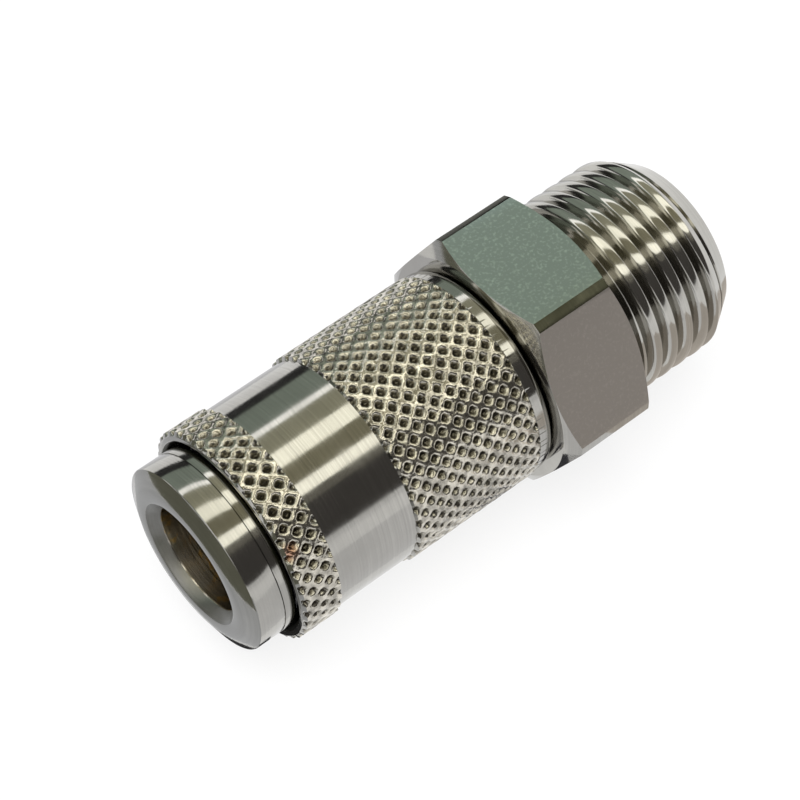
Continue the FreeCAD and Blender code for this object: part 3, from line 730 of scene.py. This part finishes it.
class COUPLING_OT_sleeve(bpy.types.Operator):
    """Press two knurled bands and turn the sleeve between and inside them"""

    bl_idname = "coupling.sleeve"
    bl_label = "Knurled sleeve"

    # One pit of the knurl: how far in and how deep each step goes, in shares of the cell's inner radius
    pit_steps = ((0.11, 0.045), (0.11, 0.11), (0.14, 0.20), (0.17, 0.28), (0.16, 0.14))
    ridge, ridge_depth = 0.14, 0.012
    # Where the ridges cross, the pit's corner is cut off by this share
    crossing = 0.40

    def execute(self, context):
        size = in_mm(context.scene.coupling_sleeve)
        front, rear, _ = ends("sleeve")
        band_front = front + size.front_band
        band_rear = band_front + size.grip
        ring_front = band_rear + size.rear_band
        rear_start = band_rear + size.knurl_edge
        rear_stop = ring_front - size.knurl_edge
        front_start = front + size.front_edge
        front_stop = band_front - size.knurl_edge
        sleeve = self.knurled_band(
            size.front_band_diameter / 2, size.starts, size.front_rows, front_start, front_stop
        )
        band = self.knurled_band(
            size.rear_band_diameter / 2, size.starts, size.rear_rows, rear_start, rear_stop
        )
        deselect_all()
        band.select_set(True)
        sleeve.select_set(True)
        context.view_layer.objects.active = sleeve
        bpy.ops.object.join()
        sleeve.name = "knurled_sleeve"
        grip = size.grip_diameter / 2
        edit(sleeve)
        select_ring(sleeve, front_stop)
        ring_to_circle(sleeve, band_front, grip, size.starts)
        continue_rings([(band_front, grip), (band_rear, grip)])
        bridge(sleeve, band_rear, rear_start)
        bpy.ops.mesh.select_all(action="DESELECT")
        select_ring(sleeve, front_start)
        profile = self.plain_profile(size, front, rear, ring_front)
        ring_to_circle(sleeve, *profile[0], size.starts)
        continue_rings(profile)
        bridge(sleeve, ring_front, rear_stop)
        face_outward()
        leave()
        shade(sleeve, 50)
        for low, high in ((front, front + size.front_edge / 2), (band_front, band_rear), (ring_front, rear)):
            mark_sharp_edges(sleeve, low, high, 25)
        made = finishes()
        finish_piece(
            sleeve, "sleeve",
            made["turned_nickel"], made["knurl_nickel_painted_shade_and_highlight"], made["bright_nickel"], made["painted_shade_nickel"],
        )
        outer = size.bore / 2 * MM
        paint_faces(sleeve, 2, ring_front * MM, rear * MM, outer)
        # Painted shade: the sleeve's mouth chamfer and the front of its bore take the near-black nickel, for
        # the dark gap
        paint_faces(sleeve, 3, front * MM, (front + size.land_front) * MM, 0, size.mouth / 2 * MM)
        paint_faces(sleeve, 1, front_start * MM, front_stop * MM, outer)
        paint_faces(sleeve, 1, rear_start * MM, rear_stop * MM, outer)
        return {"FINISHED"}

    def plain_profile(self, size, front, rear, ring_front):
        """From the front knurl round the mouth, through the bore and back to the rear knurl."""
        edge = 0.03
        corner = size.front_band_diameter / 2 - size.front_chamfer
        ring = size.rear_ring_diameter / 2
        profile = [
            (front + edge, corner + edge),
            (front + edge / 3, corner + edge / 3),
            (front, corner - edge / 2),
            (front, size.mouth / 2 + edge),
            (front + edge / 2, size.mouth / 2),
            (front + size.mouth_chamfer, size.bore / 2),
            (front + size.land_front, size.bore / 2),
            (front + size.land_front, size.land_front_diameter / 2),
            (front + size.land_rear, size.land_rear_diameter / 2),
            (front + size.land_rear, size.rear_bore / 2),
            (rear - edge, size.rear_bore / 2),
            (rear, size.rear_bore / 2 + edge),
        ]
        round_steps = 8
        for step in range(round_steps + 1):
            angle = math.pi / 2 * step / round_steps
            profile.append((
                rear - size.rear_round * (1 - math.cos(angle)),
                ring - size.rear_round * (1 - math.sin(angle)),
            ))
        profile.append((ring_front, ring))
        return profile

    def knurled_band(self, radius, starts, rows, start, stop):
        """A strip of pits that is bent to a tube and cut off square at both ends."""
        across = math.pi * radius / starts
        row = (stop - start) / rows
        bpy.ops.mesh.primitive_circle_add(
            vertices=4, radius=1, fill_type="NGON", rotation=(math.pi / 2, 0, 0)
        )
        band = bpy.context.object
        bpy.ops.object.transform_apply()
        band.scale = (across, 1, row)
        bpy.ops.object.transform_apply()
        inner = across * row / math.hypot(across, row)
        edit(band, "FACE")
        bpy.ops.mesh.select_all(action="SELECT")
        bpy.ops.mesh.inset(thickness=self.ridge * inner, depth=-self.ridge_depth * inner)
        bpy.ops.mesh.bevel(offset=self.crossing * inner, affect="VERTICES")
        bpy.ops.mesh.select_all(action="DESELECT")
        mesh = bmesh.from_edit_mesh(band.data)
        max(mesh.faces, key=lambda face: len(face.verts)).select_set(True)
        bmesh.update_edit_mesh(band.data)
        for step_in, step_down in self.pit_steps:
            bpy.ops.mesh.inset(thickness=step_in * inner, depth=-step_down * inner)
        leave()
        self.repeat(band, 2, (across, 0, row))
        self.repeat(band, starts, (2 * across, 0, 0))
        self.repeat(band, rows // 2 + 1, (0, 0, 2 * row))
        strip = TAU * radius + across
        apply_modifier(
            band, "SIMPLE_DEFORM", deform_method="BEND", deform_axis="Z", angle=strip / radius
        )
        band.location = (0, -radius, 0)
        bpy.ops.object.transform_apply()
        band.rotation_euler = (0, math.pi / 2, 0)
        band.location = (start, 0, 0)
        bpy.ops.object.transform_apply()
        cut_square(band, start, stop)
        return band

    def repeat(self, piece, count, offset):
        apply_modifier(
            piece, "ARRAY", count=count, use_relative_offset=False, use_constant_offset=True,
            constant_offset_displace=offset, use_merge_vertices=True, merge_threshold=CLOSE,
        )


class COUPLING_OT_hex(bpy.types.Operator):
    """Cut the thread, turn the adapter behind it and mill the six flats"""

    bl_idname = "coupling.hex"
    bl_label = "Hex adapter"

    # Faces of the hex that are larger than this are its flats, in square millimetres
    least_flat = 4
    # The painted shade on the corners goes this deep, and is given to those that lie this high over the axis
    corner_depth, corner_floor = 0.1, 1

    def execute(self, context):
        size = in_mm(context.scene.coupling_hex)
        spigot_front, thread_end, corner = ends("hex_adapter")
        adapter = self.threaded_end(size, thread_end)
        front = -size.length
        apothem, spigot, passage = size.flats / 2, size.spigot / 2, size.passage / 2
        chamber_front = spigot_front + size.screw_depth
        relief_radius = size.relief_diameter / 2
        fillet = 0.08
        profile = [
            (size.relief, relief_radius),
            (fillet, relief_radius),
            (0, relief_radius + fillet),
            (0, apothem),
            (-size.chamfer, corner),
            (front + size.chamfer, corner),
            (front, apothem),
            (front, spigot),
            (spigot_front, spigot),
            (spigot_front, size.screw_bore / 2),
            (chamber_front, size.screw_bore / 2),
            (chamber_front, size.chamber / 2),
            (-size.chamber_web, size.chamber / 2),
            (-size.chamber_web, passage),
            (thread_end - size.passage_edge, passage),
            (thread_end, passage + size.passage_edge),
        ]
        edit(adapter)
        select_ring(adapter, size.relief)
        ring_to_circle(adapter, *profile[0], size.turn_steps)
        continue_rings(profile)
        bridge(adapter, thread_end, thread_end)
        face_outward()
        for flat in range(6):
            angle = math.radians(90 + 60 * flat)
            outward = Vector((0, math.cos(angle), math.sin(angle)))
            bpy.ops.mesh.select_all(action="SELECT")
            bpy.ops.mesh.bisect(
                plane_co=outward * apothem, plane_no=outward,
                use_fill=True, clear_outer=True, threshold=CLOSE,
            )
        leave()
        break_edges(adapter, size.edge, front - CLOSE, CLOSE, 15)
        shade(adapter, 40)
        mark_sharp_edges(adapter, front - CLOSE, CLOSE, 12)
        made = finishes()
        finish_piece(
            adapter, "hex_adapter",
            made["bright_nickel"], made["flat_nickel"], made["top_flat_painted_reflection_nickel"],
            made["painted_shade_nickel"], made["thread_nickel_painted_highlight"],
        )
        # Painted reflection: the flat that faces up gets its own greener nickel
        for face in adapter.data.polygons:
            sideways = math.hypot(face.normal.y, face.normal.z) > 0.999
            if sideways and front * MM < face.center.x < 0 and face.area > self.least_flat * MM * MM:
                face.material_index = 2 if face.normal.z > 0.9 else 1
        land_front, land_rear = (front + size.chamfer) * MM, -size.chamfer * MM
        land_radius = (corner - self.corner_depth) * MM
        # Painted shade: only the corners that lie above the axis turn dark
        paint_faces(adapter, 3, land_front, land_rear, land_radius, floor=self.corner_floor * MM)
        paint_faces(adapter, 4, size.relief * MM, thread_end * MM, relief_radius * MM * 0.9)
        return {"FINISHED"}

    def tooth(self, size):
        """Corners of one pitch, from root to root: straight flanks, a broad crest and a narrower root."""
        # The sharp triangle of a 55 degree thread is 0.96 of its pitch high, and is rounded past the bend
        half_height = 0.96 * size.pitch / 2
        bend = half_height / 1.42
        middle = size.crest_share * half_height

        def rounded(share):
            height = middle + half_height * (1 - 4 * abs(share - 0.5))
            return height / (1 + abs(height / bend) ** 4) ** 0.25

        root, crest = rounded(0), rounded(0.5)
        corners = []
        for step in range(size.pitch_steps + 1):
            share = step / size.pitch_steps
            down = size.thread_depth * (crest - rounded(share)) / (crest - root)
            corners.append(Vector((size.pitch * share, size.thread / 2 - down, 0)))
        return corners

    def threaded_end(self, size, thread_end):
        """One tooth swept along its screw line, cut square at both ends and turned down at the lead."""
        corners = self.tooth(size)
        start = Vector((size.relief - size.pitch, 0, 0))
        thread = lone_vertex("threaded_hex", start + corners[0])
        for here, there in zip(corners, corners[1:]):
            extrude(there - here)
        leave()
        turns = math.ceil((thread_end - size.relief) / size.pitch) + 2
        apply_modifier(
            thread, "SCREW", axis="X", angle=TAU, screw_offset=size.pitch, iterations=turns,
            steps=size.turn_steps, render_steps=size.turn_steps,
            use_merge_vertices=True, merge_threshold=CLOSE,
        )
        cut_square(thread, size.relief, thread_end)
        crest, tip = size.thread / 2, size.lead_diameter / 2
        for vertex in thread.data.vertices:
            share = max(0, 1 - (thread_end - vertex.co.x) / size.lead)
            limit = crest + (tip - crest) * share
            reach = math.hypot(vertex.co.y, vertex.co.z)
            if reach > limit:
                vertex.co = (vertex.co.x, vertex.co.y * limit / reach, vertex.co.z * limit / reach)
        return thread


class COUPLING_OT_inner_pieces(bpy.types.Operator):
    """Give the balls, springs, seals and valve their finishes"""

    bl_idname = "coupling.inner_pieces"
    bl_label = "Inner pieces"

    def execute(self, context):
        made = finishes()
        by_slot = {
            "turned_brass": made["valve_brass"],
            "ball_steel": made["ball_steel"],
            "spring_steel": made["wire_steel"],
            "seal_rubber": made["seal_rubber"],
        }
        for entry in frame["record"]["subparts"]:
            material = by_slot.get(entry["material_slot"])
            node = frame["nodes"][entry["node"]]
            if material and node.material_slots:
                node.material_slots[0].material = material
            elif material:
                node.data.materials.append(material)
        return {"FINISHED"}


class COUPLING_OT_stage(bpy.types.Operator):
    """Lay the floor, build the light tunnel over it and set the camera"""

    bl_idname = "coupling.stage"
    bl_label = "Stage"

    # Panels of the tunnel: name, from and to in degrees over the floor, seen along +X, colour and strength
    panels = (
        ("far_wall", -3, 15, (0.04, 0.04, 0.04), 1),
        ("far_ceiling", 15, 46, (0.31, 0.36, 0.31), 1),
        ("far_lamp", 46, 53, (1, 1, 0.97), 1.9),
        ("top_ceiling_far", 53, 76, (0.42, 0.41, 0.30), 1),
        ("top_lamp", 76, 93, (1, 0.98, 0.84), 1.9),
        ("top_ceiling_near", 93, 114, (0.30, 0.28, 0.19), 1),
        ("near_lamp", 114, 126, (1, 0.98, 0.86), 2),
        ("near_ceiling", 126, 135, (0.2, 0.19, 0.16), 1),
        ("near_wall", 135, 174, (0.08, 0.075, 0.07), 1),
    )
    # Cards on the floor, for what lies in the part's own shade: name, from and to along X and Y, in
    # millimetres, and colour
    cards = (
        ("nose_shade", -27.3, -20.5, -50, 50, (0.57, 0.58, 0.60)),
        ("front_card", -102, -27.5, -55, 55, (0.18, 0.18, 0.14)),
        ("mouth_shade", -20.3, -18.2, -4, 5, (0.03, 0.03, 0.03)),
        ("gap_shade", -7.6, -5.4, -12, -4.4, (0.06, 0.06, 0.07)),
        ("thread_shade", 0.2, 14, -30, -2, (0.62, 0.57, 0.52)),
        ("near_shade", -20.3, 0.2, -30, -6, (0.87, 0.87, 0.88)),
        ("far_shade", -20.3, 14, 0, 20, (0.75, 0.75, 0.77)),
    )

    def execute(self, context):
        studio = context.scene.coupling_studio
        self.floor(studio)
        for panel in self.panels:
            self.panel(studio, *panel)
        for card in self.cards:
            self.card(*card)
        self.lamps()
        self.world(context)
        self.camera(context, studio)
        return {"FINISHED"}

    def floor(self, studio):
        below_part = 0.02 * MM
        bpy.ops.mesh.primitive_plane_add(size=studio.floor, location=(0, 0, cad_low.z - below_part))
        floor = bpy.context.object
        floor.name = "floor"
        material, nodes, links, shader = new_material("white_floor", (0.9, 0.9, 0.9), 0, 0.9)
        glow = nodes.new("ShaderNodeEmission")
        glow.inputs["Color"].default_value = (1, 1, 1, 1)
        glow.inputs["Strength"].default_value = 1
        seen = self.seen_directly(nodes, links)
        share = nodes.new("ShaderNodeMath")
        share.operation = "MULTIPLY"
        share.inputs[1].default_value = 0.8
        links.new(seen, share.inputs[0])
        mix = nodes.new("ShaderNodeMixShader")
        links.new(share.outputs[0], mix.inputs["Fac"])
        links.new(shader.outputs["BSDF"], mix.inputs[1])
        links.new(glow.outputs["Emission"], mix.inputs[2])
        links.new(mix.outputs["Shader"], nodes["Material Output"].inputs["Surface"])
        floor.data.materials.append(material)

    def seen_directly(self, nodes, links):
        """1 for what the camera, a reflection or a clear piece shows, and 0 for light that spreads."""
        path = nodes.new("ShaderNodeLightPath")
        seen = path.outputs["Is Camera Ray"]
        for kind in ("Is Glossy Ray", "Is Transmission Ray"):
            larger = nodes.new("ShaderNodeMath")
            larger.operation = "MAXIMUM"
            links.new(seen, larger.inputs[0])
            links.new(path.outputs[kind], larger.inputs[1])
            seen = larger.outputs[0]
        return seen

    def panel(self, studio, name, low, high, tone, strength):
        """A curved panel that only reflections show."""
        steps = max(2, round((high - low) / 2))
        angle, radius = math.radians(low), studio.tunnel
        start = (-0.5 * studio.tunnel_length, radius * math.cos(angle), radius * math.sin(angle))
        panel = lone_vertex(name, start)
        extrude((studio.tunnel_length, 0, 0))
        bpy.ops.mesh.select_all(action="SELECT")
        bpy.ops.mesh.spin(steps=steps, angle=-math.radians(high - low), center=(0, 0, 0), axis=(1, 0, 0))
        leave()
        self.glow(panel, tone, strength)

    def card(self, name, low_x, high_x, low_y, high_y, tone):
        """A card that lies on the floor, which only reflections show."""
        bpy.ops.mesh.primitive_plane_add(size=2)
        card = bpy.context.object
        card.name = name
        card.scale = ((high_x - low_x) / 2 * MM, (high_y - low_y) / 2 * MM, 1)
        card.location = ((low_x + high_x) / 2 * MM, (low_y + high_y) / 2 * MM, cad_low.z)
        bpy.ops.object.transform_apply()
        self.glow(card, tone, 1)

    def glow(self, panel, tone, strength):
        """Give a panel its light, and show it to reflections only."""
        material = bpy.data.materials.new(panel.name)
        material.use_nodes = True
        nodes, links = material.node_tree.nodes, material.node_tree.links
        nodes.clear()
        glow = nodes.new("ShaderNodeEmission")
        glow.inputs["Color"].default_value = (*tone, 1)
        glow.inputs["Strength"].default_value = strength
        output = nodes.new("ShaderNodeOutputMaterial")
        links.new(glow.outputs["Emission"], output.inputs["Surface"])
        panel.data.materials.append(material)
        for ray in ("camera", "diffuse", "shadow", "transmission"):
            setattr(panel, f"visible_{ray}", False)

    def lamps(self):
        """One large soft lamp overhead, which reflections don't show."""
        place = Vector((-0.1, -0.1, 0.5))
        bpy.ops.object.light_add(type="AREA", location=place)
        lamp = bpy.context.object
        lamp.name = "soft_lamp"
        lamp.data.shape = "DISK"
        lamp.data.size = 0.5
        lamp.data.energy = 2.2
        lamp.visible_glossy = False
        lamp.rotation_euler = place.to_track_quat("Z", "Y").to_euler()

    def world(self, context):
        world = bpy.data.worlds.new("studio_world")
        context.scene.world = world
        world.use_nodes = True
        background = world.node_tree.nodes["Background"]
        background.inputs["Color"].default_value = (1, 1, 1, 1)
        background.inputs["Strength"].default_value = 0.9

    def camera(self, context, studio):
        """The photograph's viewpoint, and the point of the axis that it looks at."""
        place = Vector((-47.95, -49.26, 86.35)) * MM
        aim = Vector((-8.51, 0.65, 0.37)) * MM
        roll = math.radians(-1.63)
        bpy.ops.object.camera_add(location=place)
        camera = bpy.context.object
        camera.name = "camera"
        level = (place - aim).to_track_quat("Z", "Y").to_matrix().to_4x4()
        camera.matrix_world = Matrix.Translation(place) @ level @ Matrix.Rotation(roll, 4, "Z")
        camera.data.lens = studio.lens
        camera.data.sensor_width = 36
        camera.data.clip_start = 0.001
        camera.data.clip_end = 20
        context.scene.camera = camera
        context.scene.view_settings.view_transform = "Standard"


class COUPLING_PT_panel(bpy.types.Panel):
    """The coupling's pieces in the order in which they are made"""

    bl_label = "Quick coupling"
    bl_idname = "COUPLING_PT_panel"
    bl_space_type = "VIEW_3D"
    bl_region_type = "UI"
    bl_category = "Coupling"

    def draw(self, context):
        column = self.layout.column()
        for operator in operators:
            column.operator(operator.bl_idname)


operators = (
    COUPLING_OT_nose,
    COUPLING_OT_ring,
    COUPLING_OT_sleeve,
    COUPLING_OT_hex,
    COUPLING_OT_inner_pieces,
    COUPLING_OT_stage,
)
groups = {
    "coupling_nose": NoseSizes,
    "coupling_ring": RingSizes,
    "coupling_sleeve": SleeveSizes,
    "coupling_hex": HexSizes,
    "coupling_finish": FinishColours,
    "coupling_studio": StudioSizes,
}


def register():
    for kind in (*groups.values(), *operators, COUPLING_PT_panel):
        bpy.utils.register_class(kind)
    for name, group in groups.items():
        setattr(bpy.types.Scene, name, PointerProperty(type=group))


def unregister():
    for name in groups:
        delattr(bpy.types.Scene, name)
    for kind in reversed((*groups.values(), *operators, COUPLING_PT_panel)):
        bpy.utils.unregister_class(kind)


def main():
    register()
    deselect_all()
    bpy.ops.coupling.nose()
    bpy.ops.coupling.ring()
    bpy.ops.coupling.sleeve()
    bpy.ops.coupling.hex()
    bpy.ops.coupling.inner_pieces()
    bpy.ops.coupling.stage()


if __name__ == "__main__":
    main()
